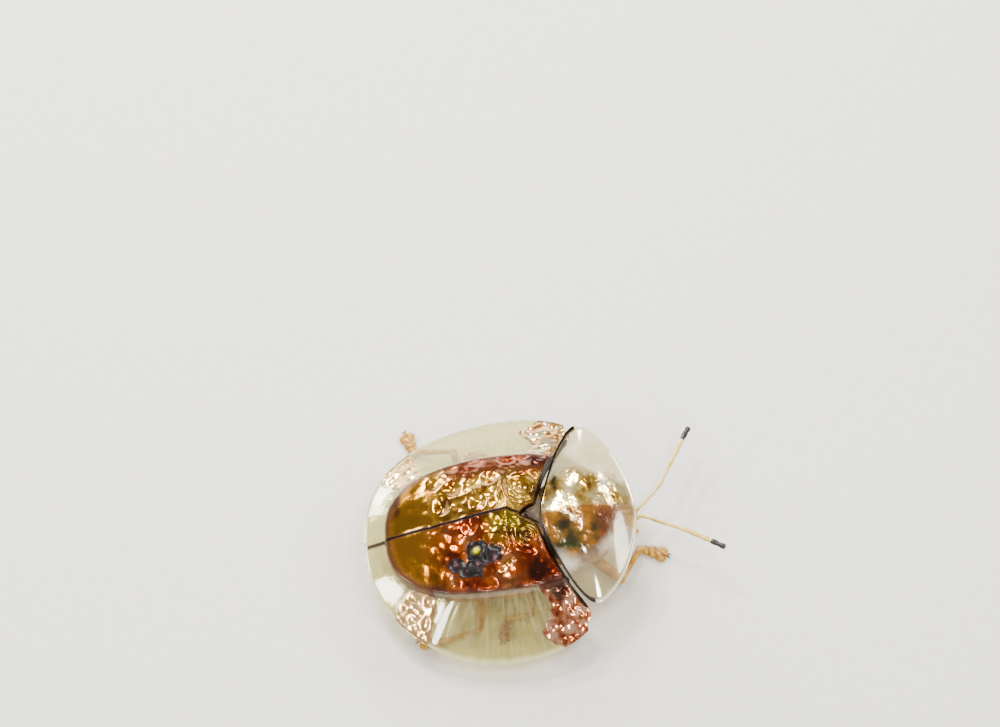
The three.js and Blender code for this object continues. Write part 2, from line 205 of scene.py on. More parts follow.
# The dark base line is the wing cases' black front rim and also painted shadow of the gap under the
# shield.
DISC_EDGE_LINE, SEAM_LINE, BASE_LINE = 0.19, 0.085, 0.2  # half widths of the dark lines
REAR_TONE_FORE = -3.2  # the colour of the rear begins here
DIMPLE, DIMPLE_DEPTH, SWIRL = 0.88, 0.23, 0.25
FINE_DIMPLE, FINE_DEPTH = 0.4, 0.03
PIT_REACH, RIDGE_START = 0.64, 0.52  # from a dimple's middle, as shares of its cell
PATCH_DIMPLE, SHOULDER_DEPTH, REAR_DEPTH, PATCH_SWELL = 0.46, 0.11, 0.06, 0.05
CROSS_RIDGE, LONG_RIDGE, RIM_BEAD, GLINT_SWELL = 0.1, 0.05, 0.05, 0.1


def dark_spot(side, fore):
    """Millimetres inside the dark spot on the right wing case."""
    return inside_spots(side, fore, DARK_SPOT_OVALS) + RAGGED * cloud(side, fore, 0.38, 4.0)


def stain(side, fore):
    """Millimetres inside the dark red stains of the wing cases."""
    return inside_spots(side, fore, STAIN_SPOTS) + RAGGED * cloud(side, fore, 0.4, 9.0)


def swirled(side, fore):
    """The place moved by a slow swirl, which keeps the large dimples out of rows."""
    swirl = SWIRL * cloud(side, fore, 1.5, 7.0)
    return side + swirl, fore - swirl


def from_pit(side, fore, cell):
    """Distance, in cells, from the middle of the nearest dimple of an uneven pattern."""
    return noise.voronoi(Vector((side / cell, fore / cell, 0.3)))[0][0]


def pits(side, fore, cell, depth):
    """Round dimples with soft brims, one in each cell."""
    return -depth * max(1 - (from_pit(side, fore, cell) / PIT_REACH) ** 2, 0.0) ** 2


def dimple_ridges(side, fore):
    """Millimetres inside the ridges that are left between the large dimples."""
    nearest = from_pit(*swirled(side, fore), DIMPLE)
    return (nearest - RIDGE_START) * DIMPLE - 0.5 * ease(-2.2, -4.2, fore)


def from_ringed(side, fore):
    """Millimetres from the middle of the nearest ringed dimple."""
    return min(math.hypot(side - x, fore - y) for x, y in RINGED_DIMPLES)


def ringed_dimple(side, fore):
    """The broad dimple with fine rings at the front of each wing case."""
    away = from_ringed(side, fore)
    if away > RINGED_RADIUS:
        return 0.0
    rings = RING_HEIGHT * math.cos(2 * math.pi * away / RING_WIDTH)
    return (rings - RINGED_DEPTH) * (1 - (away / RINGED_RADIUS) ** 2)


def shell_relief(side, fore):
    """Height of ridges and dimples on the opaque parts of the wing cases."""
    reach = outline_reach(DISC, side, fore)
    across = share_across_margin(side, fore)
    distance = math.hypot(side, fore - HUMP_FORE)
    rough_front = ease(-4.5, -2.6, fore)
    in_dark_spot = ease(0.0, 0.2, dark_spot(side, fore))

    large = pits(*swirled(side, fore), DIMPLE, DIMPLE_DEPTH) * (0.06 + 0.94 * rough_front)
    large *= ease(0.5, 0.9, from_ringed(side, fore))
    fine = pits(side, fore, FINE_DIMPLE, FINE_DEPTH) * (0.3 + 0.7 * rough_front)
    dark_spot_part = 0.05 * in_dark_spot * (cloud(side, fore, 0.5, 6.0) - 1.4)
    glint = GLINT_SWELL * ease(-0.05, 0.15, inside_spots(side, fore, [GLINT]))
    dimples = (large + fine) * (1 - 0.75 * in_dark_spot) + ringed_dimple(side, fore) + dark_spot_part + glint

    bend = 0.25 * cloud(side, 0.0, 0.8, 3.0)
    crossways = lump(fore - HUMP_FORE - bend, 0.13) * ease(2.7, 1.2, abs(side))
    lengthways = lump(side, 0.14) * ease(-5.4, -4.4, fore)
    ridges = CROSS_RIDGE * crossways * ease(0.1, 0.4, distance) + LONG_RIDGE * lengthways

    on_disc = 1 - ease(0.93, 1.0, reach)
    on_patch = ease(-0.1, 0.15, patch(side, fore)) * ease(1.0, 1.04, reach) * ease(1.0, 0.9, across)
    patch_depth = SHOULDER_DEPTH if fore > 0 else REAR_DEPTH
    patch_part = pits(side, fore, PATCH_DIMPLE, patch_depth) + PATCH_SWELL
    disc_part = dimples * ease(0.0, 0.6, distance) + ridges
    return on_disc * disc_part + on_patch * patch_part + RIM_BEAD * ease(0.93, 0.99, across)


# Front edge of the left wing case, from the scutellum to the shoulder. All but its last three
# points lie along the shield.
WING_CASE_BASE = [
    (SEAM, 0.95), (0.22, 1.2), (0.44, 1.6), (1.05, 1.77), (1.6, 1.93), (2.3, 2.23), (3.1, 2.66),
    (3.7, 3.05), (4.15, 3.36), (4.5, 3.53), (4.8, 3.5), (4.98, 3.3),
]
ALONG_SHIELD = [Vector(point) for point in WING_CASE_BASE[:-3]]


def wing_case_outline():
    """Edge of the left wing case from the scutellum round the shoulder and the rim to the tail."""
    points = list(WING_CASE_BASE)
    start = math.asin((points[-1][1] - HUMP_FORE) / (RIM["front"] - HUMP_FORE))
    rim_steps = 90
    for step in range(1, rim_steps):
        angle = start - (start + math.pi / 2) * step / rim_steps
        ahead = math.copysign(abs(math.sin(angle)) ** (2 / RIM["squareness"]), angle)
        length = RIM["front"] - HUMP_FORE if angle > 0 else HUMP_FORE - RIM["tail"]
        across = math.cos(angle) ** (2 / RIM["squareness"])
        points.append((max(RIM["half_width"] * across, 0.3), HUMP_FORE + length * ahead))
    return points + [(0.15, RIM["tail"] + 0.02), (SEAM, RIM["tail"] + 0.12)]


def from_base(side, fore):
    """Millimetres from the part of a wing case's front edge that meets the shield."""
    here = Vector((abs(side), fore))
    distances = []
    for start, end in zip(ALONG_SHIELD, ALONG_SHIELD[1:]):
        share = min(max((here - start).dot(end - start) / (end - start).length_squared, 0), 1)
        distances.append((here - start - (end - start) * share).length)
    return min(distances)


def along_path(points, share):
    """The point at a share of a path's length."""
    lengths = [math.dist(a, b) for a, b in zip(points, points[1:])]
    wanted = share * sum(lengths)
    for (a, b), length in zip(zip(points, points[1:]), lengths):
        if wanted <= length:
            return [p + (q - p) * wanted / length for p, q in zip(a, b)]
        wanted -= length
    return list(points[-1])


# Making pieces


def deselect_all():
    if bpy.context.object and bpy.context.object.mode != "OBJECT":
        bpy.ops.object.mode_set(mode="OBJECT")
    bpy.ops.object.select_all(action="DESELECT")


def choose(piece):
    deselect_all()
    piece.select_set(True)
    bpy.context.view_layer.objects.active = piece


def edit_all(piece):
    choose(piece)
    bpy.ops.object.mode_set(mode="EDIT")
    bpy.ops.mesh.select_all(action="SELECT")


def shaped_grid(name, across, along, place_at):
    """A flat grid whose points are moved to place_at(u, v), both from 0 to 1."""
    deselect_all()
    bpy.ops.mesh.primitive_grid_add(x_subdivisions=across, y_subdivisions=along, size=2)
    piece = bpy.context.object
    piece.name = name
    for point in piece.data.vertices:
        point.co = place_at((point.co.x + 1) / 2, (point.co.y + 1) / 2)
    return piece


def smooth(piece, angle=50):
    choose(piece)
    bpy.ops.object.shade_smooth_by_angle(angle=math.radians(angle))


def sheet(name, across, along, place_at, wall, merge=MERGE):
    """A thin plate. The grid is its upper face, and the wall lies below."""
    piece = shaped_grid(name, across, along, place_at)
    edit_all(piece)
    bpy.ops.mesh.remove_doubles(threshold=merge * MM)
    bpy.ops.mesh.select_all(action="SELECT")
    bpy.ops.mesh.normals_make_consistent(inside=False)
    bpy.ops.object.mode_set(mode="OBJECT")
    if sum(face.normal.z * face.area for face in piece.data.polygons) < 0:
        edit_all(piece)
        bpy.ops.mesh.flip_normals()
        bpy.ops.object.mode_set(mode="OBJECT")
    solid = piece.modifiers.new("wall", "SOLIDIFY")
    solid.thickness = wall * MM
    solid.offset = -1
    bpy.ops.object.modifier_apply(modifier=solid.name)
    smooth(piece)
    return piece


def tube(name, around, along, place_at):
    """A grid wrapped round, with its seam joined, its ends closed and its faces outwards."""
    piece = shaped_grid(name, around, along, place_at)
    edit_all(piece)
    bpy.ops.mesh.remove_doubles(threshold=FINE_MERGE * MM)
    bpy.ops.mesh.fill_holes(sides=0)
    bpy.ops.mesh.select_all(action="SELECT")
    bpy.ops.mesh.normals_make_consistent(inside=False)
    bpy.ops.object.mode_set(mode="OBJECT")
    smooth(piece)
    return piece


def joined(name, pieces):
    deselect_all()
    for piece in pieces:
        piece.select_set(True)
    bpy.context.view_layer.objects.active = pieces[0]
    bpy.ops.object.join()
    whole = bpy.context.object
    whole.name = name
    return whole


def mark(piece, values):
    """Keeps each value_at(side, fore) at the points of the mesh, for the material."""
    places = [beetle_place(point.co) for point in piece.data.vertices]
    for name, value_at in values.items():
        attribute = piece.data.attributes.new(name, "FLOAT", "POINT")
        attribute.data.foreach_set("value", [value_at(side, fore) for side, fore in places])


def curve_point(points, share, closed=False):
    """The point at a share of a smooth curve through the points."""
    count = len(points)
    at = share * count if closed else min(share, 0.99999) * (count - 1)
    index, local = int(at), at - int(at)
    steps = range(index - 1, index + 3)
    if closed:
        p, q, r, s = (points[step % count] for step in steps)
    else:
        p, q, r, s = (points[min(max(step, 0), count - 1)] for step in steps)
    square, cube = local**2, local**3
    return 0.5 * (2 * q + (r - p) * local + (2 * p - 5 * q + 4 * r - s) * square
                  + (3 * q - p - 3 * r + s) * cube)


def limb(name, points, radius_at, around=16, along=24, flatness=1.0):
    """A round limb along a smooth path of places, with a radius for each share of its length."""
    path = [place(*p) for p in points]

    def place_at(u, v):
        ahead = curve_point(path, min(v + 0.01, 1)) - curve_point(path, max(v - 0.01, 0))
        sideways = ahead.cross(Vector((0, 0, 1))).normalized()
        upward = sideways.cross(ahead.normalized())
        radius = radius_at(v) * MM
        angle = 2 * math.pi * u
        ring = sideways * math.cos(angle) + upward * math.sin(angle) * flatness
        return curve_point(path, v) + radius * ring

    return tube(name, around, along, place_at)


def ball(name, at, half_sizes, turn=0.0, segments=24, taper=0.0):
    """A rounded lump, narrower at its front end by the taper."""
    deselect_all()
    bpy.ops.mesh.primitive_uv_sphere_add(segments=segments, ring_count=segments // 2, radius=1)
    piece = bpy.context.object
    piece.name = name
    for point in piece.data.vertices:
        point.co.x *= 1 + taper * point.co.y
    edit_all(piece)
    bpy.ops.transform.resize(value=[half * MM for half in half_sizes])
    bpy.ops.transform.rotate(value=-turn, orient_axis="Z", center_override=(0, 0, 0))
    bpy.ops.transform.translate(value=place(*at))
    bpy.ops.object.mode_set(mode="OBJECT")
    smooth(piece, 180)
    return piece


def two_toned(piece, first, second, is_second):
    """The second material on the faces whose middle is_second picks, and the first elsewhere."""
    piece.data.materials.append(first)
    piece.data.materials.append(second)
    for face in piece.data.polygons:
        face.material_index = int(is_second(face.center))


def finished(piece, material, slot, *nodes):
    """Covers a piece that has no material yet, puts it on the beetle and lets it stand for the
    CAD nodes."""
    if material:
        piece.data.materials.append(material)
    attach(piece, "root")
    if nodes:
        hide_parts(*nodes)
    return piece


# Materials


def colour(code):
    """A linear colour from an sRGB hex code."""
    parts = [int(code[i : i + 2], 16) / 255 for i in (0, 2, 4)]
    linear = [p / 12.92 if p <= 0.04045 else ((p + 0.055) / 1.055) ** 2.4 for p in parts]
    return (*linear, 1.0)


def add_node(tree, kind, inputs=(), stops=(), output=0, **settings):
    """Adds a node with its settings and links, and gives back one of its outputs. Inputs come
    in order, or by name or number, and a hex code stands for its colour."""
    node = tree.nodes.new("ShaderNode" + kind)
    for name, value in settings.items():
        setattr(node, name, value)
    for name, value in inputs.items() if isinstance(inputs, dict) else enumerate(inputs):
        if isinstance(value, bpy.types.NodeSocket):
            tree.links.new(value, node.inputs[name])
        else:
            node.inputs[name].default_value = colour(value) if isinstance(value, str) else value
    if stops:
        ramp = node.color_ramp.elements
        while len(ramp) < len(stops):
            ramp.new(0.5)
        for element, (position, code) in zip(ramp, stops):
            element.position = position
            element.color = colour(code)
    return node.outputs[output] if len(node.outputs) else None


def new_material(name):
    """An empty material and add_node bound to it."""
    material = bpy.data.materials.new(name)
    material.use_nodes = True
    material.node_tree.nodes.clear()
    return material, functools.partial(add_node, material.node_tree)


def edge_mask(add, value, width, jitter, jitter_size=0.35, strength=1.0):
    """0 where value is below 0 and the strength above, with an uneven edge. Millimetres."""
    body = add("TexCoord", output="Object")
    uneven = add("TexNoise", {"Vector": body, "Scale": 1 / (jitter_size * MM), "Detail": 2.0})
    shift = add("Math", (uneven, jitter * 2, -jitter), operation="MULTIPLY_ADD")
    moved = add("Math", (value, shift), operation="ADD")
    mask = add("Math", (moved, 1 / width, 0.5), operation="MULTIPLY_ADD", use_clamp=True)
    return add("Math", (mask, strength), operation="MULTIPLY")


def clear_film(add, body_share, body_code, tint_code, gloss, waves):
    """Thin clear cuticle: mostly see-through, with a mirror on its waves. The mirror's share is
    the gloss head-on and rises to 1 at a grazing look, on both faces alike."""
    through = add("BsdfTransparent", {"Color": tint_code})
    body = add("BsdfPrincipled", {
        "Base Color": body_code, "Roughness": 0.35, "IOR": 1.55, "Normal": waves})
    film = add("MixShader", (body_share, through, body))
    mirror = add("BsdfPrincipled", {
        "Base Color": "FFFFFF", "Metallic": 1.0, "Roughness": 0.08, "Normal": waves})
    facing_away = add("LayerWeight", {"Blend": 0.5, "Normal": waves}, output="Facing")
    grazing = add("Math", (facing_away, 5.0), operation="POWER")
    shine = add("Math", (grazing, 1 - gloss, gloss), operation="MULTIPLY_ADD")
    return add("MixShader", (shine, film, mirror))


# A Map Range node gets its value, the range it comes from and the range it goes to. A Mix node of
# colours has its share at input 0, the colours at 6 and 7 and the mixed one at output 2.

WING_CASE_MARKS = ("disc", "disc_edge", "patch", "across", "sweep", "seam", "base", "rear", "ridges",
                   "stain", "dark_spot", "glint", "flush")


def wing_case_material(name, mottle, flush_code, rear_code, ridge_reflection_code, patch_stops):
    """Beetle cuticle, grown in thin layers: a metal gold over the disc and the four patches,
    which gives coloured mirror glints from every dimple, and a clear film with pale streaks
    between them."""
    material, add = new_material(name)
    body = add("TexCoord", output="Object")
    marks = {each: add("Attribute", output="Fac", attribute_name=each) for each in WING_CASE_MARKS}
    tones, fine_tones, grain = (
        add("TexNoise", {"Vector": body, "Scale": 1 / (size * MM), "Detail": 3.0})
        for size in (1.2, 0.45, 0.14)
    )

    on_disc = edge_mask(add, marks["disc"], 0.1, 0.04)
    off_disc = add("Math", (1.0, on_disc), operation="SUBTRACT")
    on_patch = edge_mask(add, marks["patch"], 0.08, 0.12, 0.25)
    disc_edge = edge_mask(add, marks["disc_edge"], 0.2, 0.08, strength=0.85)
    seam_line = edge_mask(add, marks["seam"], 0.05, 0.02)
    margin_seam = add("Math", (seam_line, 0.8), operation="MULTIPLY")
    # Dark along the front edge: black rim and painted shadow of the gap under the shield.
    base_rim_and_shadow = edge_mask(add, marks["base"], 0.08, 0.02)
    rear = edge_mask(add, marks["rear"], 2.0, 0.4, 1.2)
    dark_spot_part = edge_mask(add, marks["dark_spot"], 0.1, 0.1, 0.2)

    patch_metal = add("ValToRGB", [fine_tones], patch_stops)
    pale_rear = add("Math", (rear, 0.7), operation="MULTIPLY")
    patch_metal = add("Mix", {0: pale_rear, 6: patch_metal, 7: "FFDC9A"}, output=2, data_type="RGBA")
    # The dark spot's colour: near black, with lighter purplish flecks that are painted reflections.
    dark_and_sheen_tone = add("ValToRGB", [fine_tones], [(0.46, "0E0806"), (0.64, "2C1A1C"), (0.76, "74494E")])
    # Painted highlight: the small yellow-green glint in the dark spot, bright in its middle.
    painted_glint_tone = add("ValToRGB", [marks["glint"]], [(0.02, "4A4A0C"), (0.14, "DCD832")])
    layers = [
        (edge_mask(add, marks["flush"], 0.9, 0.5, 0.8), flush_code),
        (rear, rear_code),
        # Painted reflection: dark lines along the ridges between the large dimples.
        (edge_mask(add, marks["ridges"], 0.1, 0.06, 0.3, strength=0.55), ridge_reflection_code),
        (off_disc, patch_metal),
        (edge_mask(add, marks["stain"], 0.3, 0.15, strength=0.85), "3A140A"),
        (disc_edge, "3E1A0D"),
        (seam_line, "2A120A"),
        (base_rim_and_shadow, "1C0D07"),
        (dark_spot_part, dark_and_sheen_tone),
        (edge_mask(add, marks["glint"], 0.1, 0.05, 0.2), painted_glint_tone),
    ]
    metal = add("ValToRGB", [tones], mottle)
    for share, over in layers:
        metal = add("Mix", {0: share, 6: metal, 7: over}, output=2, data_type="RGBA")

    dull = disc_edge
    for share in (seam_line, base_rim_and_shadow, dark_spot_part):
        dull = add("Math", (dull, share), operation="MAXIMUM")
    grain_roughness = add("MapRange", (grain, 0.0, 1.0, 0.1, 0.26))
    gold = add("BsdfPrincipled", {
        "Base Color": metal,
        "Metallic": add("Math", (dull, -0.7, 0.96), operation="MULTIPLY_ADD"),
        "Roughness": add("Math", (dull, 0.18, grain_roughness), operation="MULTIPLY_ADD"),
        "Normal": add("Bump", {"Height": grain, "Strength": 0.3, "Distance": 0.025 * MM}),
        "Coat Weight": add("Math", (dull, -0.5, 0.6), operation="MULTIPLY_ADD"),
        "Coat Roughness": 0.05})

    sweep = add("CombineXYZ", (marks["sweep"], marks["across"]))
    streaks = add("TexNoise", {"Vector": sweep, "Scale": 2.6, "Detail": 3.0})
    swells = add("TexNoise", {"Vector": sweep, "Scale": 0.8, "Detail": 1.0})
    # The real cells of the clear margin are about 0.1 mm wide; these are 0.3 mm so that they show.
    cells = add("TexVoronoi", {"Vector": body, "Scale": 1 / (0.3 * MM)}, feature="DISTANCE_TO_EDGE")
    body_share = add("MapRange", (streaks, 0.45, 0.75, 0.025, 0.17))
    cell_walls = add("MapRange", (cells, 0.0, 0.14, 0.05, 0.0))
    near_rim = add("MapRange", (marks["across"], 0.9, 0.99, 0.0, 0.5))
    for share in (cell_walls, near_rim):
        body_share = add("Math", (body_share, share), operation="ADD")
    waves = add("Bump", {"Height": swells, "Strength": 0.5, "Distance": 0.12 * MM})
    film = clear_film(add, body_share, "E2DDB4", "F1EDCA", 0.08, waves)

    solid = on_disc
    for share in (on_patch, base_rim_and_shadow, margin_seam):
        solid = add("Math", (solid, share), operation="MAXIMUM")
    add("OutputMaterial", [add("MixShader", (solid, film, gold))])
    return material


def shield_material():
    """Clear cuticle, grown glass-smooth: nothing but gloss at its edges, with a gold mirror and
    amber flesh showing through its middle."""
    material, add = new_material("clear_cuticle_over_gold")
    body = add("TexCoord", output="Object")
    marks = {
        each: add("Attribute", output="Fac", attribute_name=each)
        for each in ("core", "gilt", "front", "stain", "rear_rim_and_shadow", "edge")
    }
    tones, clouds, swells, ripples = (
        add("TexNoise", {"Vector": body, "Scale": 1 / (size * MM), "Detail": detail})
        for size, detail in ((0.9, 3.0), (1.4, 2.0), (1.6, 1.0), (0.6, 2.0))
    )

    gilt = edge_mask(add, marks["gilt"], 0.25, 0.3, 0.8)
    # Dark along the shield's rear edge: a dark rim and painted shadow of the gap in front of the wing
    # cases.
    rear_rim_and_shadow = edge_mask(add, marks["rear_rim_and_shadow"], 0.06, 0.02)
    gold = add("ValToRGB", [tones], [(0.3, "8A6420"), (0.42, "D8AE58"), (0.56, "FFE9A8")])
    layers = [
        (gilt, gold),
        (edge_mask(add, marks["front"], 0.5, 0.3, 0.6, strength=0.7), "5E2A1C"),
        (edge_mask(add, marks["stain"], 0.2, 0.15, strength=0.9), "25240E"),
        (rear_rim_and_shadow, "120D06"),
    ]
    flesh = add("ValToRGB", [tones], [
        (0.32, "34340F"), (0.41, "5E4614"), (0.52, "8A5A1A"), (0.66, "B07C32")])
    for share, over in layers:
        flesh = add("Mix", {0: share, 6: flesh, 7: over}, output=2, data_type="RGBA")
    heart = add("BsdfPrincipled", {
        "Base Color": flesh,
        "Metallic": add("Math", (gilt, 0.55, 0.42), operation="MULTIPLY_ADD"),
        "Roughness": add("Math", (rear_rim_and_shadow, 0.3, 0.16), operation="MULTIPLY_ADD"),
        "Normal": add("Bump", {"Height": ripples, "Strength": 0.5, "Distance": 0.12 * MM}),
        "Coat Weight": add("Math", (rear_rim_and_shadow, -0.9, 1.0), operation="MULTIPLY_ADD"),
        "Coat Roughness": 0.03})

    veil = add("MapRange", (clouds, 0.45, 0.7, 0.04, 0.42))
    rim = add("MapRange", (marks["edge"], 0.95, 0.99, 0.0, 0.45))
    body_share = add("Math", (veil, rim), operation="ADD")
    waves = add("Bump", {"Height": swells, "Strength": 0.3, "Distance": 0.12 * MM})
    film = clear_film(add, body_share, "EDE4D2", "F6F2DC", 0.1, waves)
    core = edge_mask(add, marks["core"], 0.35, 0.4, 0.7)
    solid = add("Math", (core, rear_rim_and_shadow), operation="MAXIMUM")
    add("OutputMaterial", [add("MixShader", (solid, film, heart))])
    return material


def skin_material(name, stops, roughness=(0.25, 0.45), shine=0.4):
    """Beetle skin, grown and hardened: waxy and a little translucent, with a fine uneven grain."""
    material, add = new_material(name)
    body = add("TexCoord", output="Object")
    tones, grain = (
        add("TexNoise", {"Vector": body, "Scale": 1 / (size * MM), "Detail": 4.0})
        for size in (0.7, 0.12)
    )
    skin = add("BsdfPrincipled", {
        "Base Color": add("ValToRGB", [tones], stops),
        "Roughness": add("MapRange", (grain, 0.0, 1.0, *roughness)),
        "Normal": add("Bump", {"Height": grain, "Strength": 0.35, "Distance": 0.03 * MM}),
        "IOR": 1.55, "Subsurface Weight": 0.3, "Subsurface Radius": (1.0, 0.6, 0.25),
        "Subsurface Scale": 0.25 * MM, "Coat Weight": shine, "Coat Roughness": 0.12})
    add("OutputMaterial", [skin])
    return material


def eye_material():
    """Compound eye, grown from hundreds of lenses: black, with a fine grid of tiny domes."""
    material, add = new_material("compound_eye_black")
    body = add("TexCoord", output="Object")
    # The real lenses are about 0.02 mm across; these are 0.06 mm so that they show.
    lenses = add("TexVoronoi", {"Vector": body, "Scale": 1 / (0.06 * MM), "Randomness": 0.2})
    shell = add("BsdfPrincipled", {
        "Base Color": add("ValToRGB", [lenses], [(0.1, "3A2418"), (0.6, "0C0806")]),
        "Roughness": 0.22,
        "Normal": add("Bump", {
            "Height": lenses, "Strength": 0.6, "Distance": 0.03 * MM}, invert=True),
        "Coat Weight": 0.6, "Coat Roughness": 0.08})
    add("OutputMaterial", [shell])
    return material


def card_material():
    """Matt card, pressed from pulp: pale and plain, with a faint fibre."""
    material, add = new_material("pale_card")
    body = add("TexCoord", output="Object")
    fibres = add("TexNoise", {"Vector": body, "Scale": 1 / (0.5 * MM), "Detail": 4.0})
    tone = add("ValToRGB", [fibres], [(0.3, "DEDBD2"), (0.7, "E4E1D9")])
    surface = add("BsdfPrincipled", {"Base Color": tone, "Roughness": 0.85})
    add("OutputMaterial", [surface])
    return material


left_metal = wing_case_material(
    "gold_cuticle",
    [(0.3, "6E4410"), (0.43, "AC7C28"), (0.53, "E0B654"), (0.62, "B4742A"), (0.72, "E8BC6C")],
    "C4683A",
    "9C6F24",
    "5C3210",
    [(0.28, "A0582A"), (0.42, "ECB066"), (0.58, "FFE8BC")],
)
right_metal = wing_case_material(
    "copper_cuticle",
    [(0.28, "5A1C0A"), (0.4, "A84418"), (0.52, "D06A2C"), (0.62, "E08A58"), (0.74, "9A7A24")],
    "A08626",
    "A8742A",
    "571C0C",
    [(0.3, "6A2A14"), (0.44, "CC7448"), (0.6, "FFC8A0")],
)
clear_shield = shield_material()
amber = skin_material("amber_cuticle", [(0.3, "9E681C"), (0.5, "C08E34"), (0.7, "DAB058")])
straw = skin_material("straw_cuticle", [(0.3, "BFA044"), (0.5, "D6C06C"), (0.7, "E4D28A")])
belly = skin_material("belly_cuticle", [(0.3, "6A3814"), (0.5, "9A5C20"), (0.7, "BE8230")])
brown_tones = [(0.3, "2C140A"), (0.5, "46220F"), (0.7, "623318")]
brown = skin_material("brown_cuticle", brown_tones, (0.35, 0.55), 0.15)
bronze_tones = [(0.3, "2E1E08"), (0.5, "4A330E"), (0.7, "6E4E18")]
bronze = skin_material("bronze_cuticle", bronze_tones, (0.4, 0.6), 0.1)
black = skin_material("black_cuticle", [(0.3, "15100C"), (0.6, "2E241C")])
hair = skin_material("hair_cuticle", [(0.3, "C09048"), (0.6, "DDBE7C")], shine=0.2)
eye_black = eye_material()


# The wing cases


def wing_case(name, mirror, material, slot, cad_node, flush_corner):
    """One wing case. Its colour changes in front of the flush corner and to the left of it."""
    outline = wing_case_outline()
    columns, rows = 240, 124
    edges = [along_path(outline, column / columns) for column in range(columns + 1)]
    disc_rows = 0.64

    def place_at(u, v):
        edge_side, edge_fore = edges[round(u * columns)]
        disc_edge = min(1 / outline_reach(DISC, edge_side, edge_fore), 0.9)
        if v < disc_rows:
            reach = v / disc_rows * disc_edge
        else:
            reach = disc_edge + (v - disc_rows) / (1 - disc_rows) * (1 - disc_edge)
        side = mirror * (SEAM + (edge_side - SEAM) * reach)
        fore = HUMP_FORE + (edge_fore - HUMP_FORE) * reach
        base_away = from_base(side, fore)
        relief = shell_relief(side, fore) * ease(0.0, 0.25, base_away)
        lip_height = BASE_LIP * (1 - 0.7 * ease(2.6, 4.0, abs(side)))
        lip = lip_height * ease(LIP_RUN, 0.0, base_away) ** 1.5
        return place(side, fore, shell_up(side, fore) + relief - lip)

    piece = sheet(name, columns, rows, place_at, CUTICLE)
    mark(piece, {
        "disc": inside_disc,
        "disc_edge": lambda side, fore: DISC_EDGE_LINE - abs(inside_disc(side, fore)),
        "patch": patch,
        "across": share_across_margin,
        "sweep": lambda side, fore: 9 * math.atan2(side, fore - HUMP_FORE),
        "seam": lambda side, fore: SEAM_LINE - abs(side),
        "base": lambda side, fore: BASE_LINE - from_base(side, fore),
        "rear": lambda side, fore: REAR_TONE_FORE - fore,
        "ridges": dimple_ridges,
        "stain": stain,
        "dark_spot": dark_spot,
        "glint": lambda side, fore: inside_spots(side, fore, [GLINT]),
        "flush": lambda side, fore: min(side - flush_corner[0], fore - flush_corner[1]),
    })
    finished(piece, material, slot, cad_node)


wing_case("wing_case_left", 1, left_metal, "gold_shell", "elytron_left", (2.3, -2.4))
wing_case("wing_case_right", -1, right_metal, "copper_shell", "elytron_right", (-1.3, -0.9))


def scutellum():
    """The small triangle between the roots of the wing cases."""
    front, tip, half_width = 1.6, 0.98, 0.4
    sunk, thickness, swell = 0.2, 0.2, 0.06

    def place_at(u, v):
        fore = front + (tip - front) * v
        side = (2 * u - 1) * half_width * (1 - v) ** 0.8
        return place(side, fore, shell_up(side, fore) - sunk + swell * (1 - (2 * u - 1) ** 2))

    piece = sheet("scutellum_plate", 24, 24, place_at, thickness, FINE_MERGE)
    finished(piece, bronze, "dark_shell", "scutellum")


scutellum()


# The neck shield and the prothorax under it

HALF_SHIELD_EDGE = [
    (0, SHIELD_FRONT), (0.97, 6.1), (2.24, 5.75), (3.4, 5.2), (4.2, 4.55), (4.55, 4.0),
    (4.35, 3.47), (3.44, 2.85), (2.27, 2.33), (1.3, 1.98), (0.6, 1.76), (0, SHIELD_REAR),
]
SHIELD_EDGE = [
    Vector((side, fore))
    for side, fore in HALF_SHIELD_EDGE + [(-x, y) for x, y in reversed(HALF_SHIELD_EDGE[1:-1])]
]
SHIELD_STAINS = [(-0.62, 2.75, 0.26, 0.28), (1.75, 2.5, 0.7, 0.18), (1.35, 4.75, 0.2, 0.28)]


def shield_edge_up(side, fore):
    """Height of the shield's edge, which is lowest in front."""
    outward = min(abs(side) / SHIELD_HALF_WIDTH, 1)
    if fore > SHIELD_TIP_FORE:
        return SHIELD_UP["front"] + (SHIELD_UP["tip"] - SHIELD_UP["front"]) * outward**2
    return SHIELD_UP["tip"] + (SHIELD_UP["rear"] - SHIELD_UP["tip"]) * (1 - outward**2) ** 2


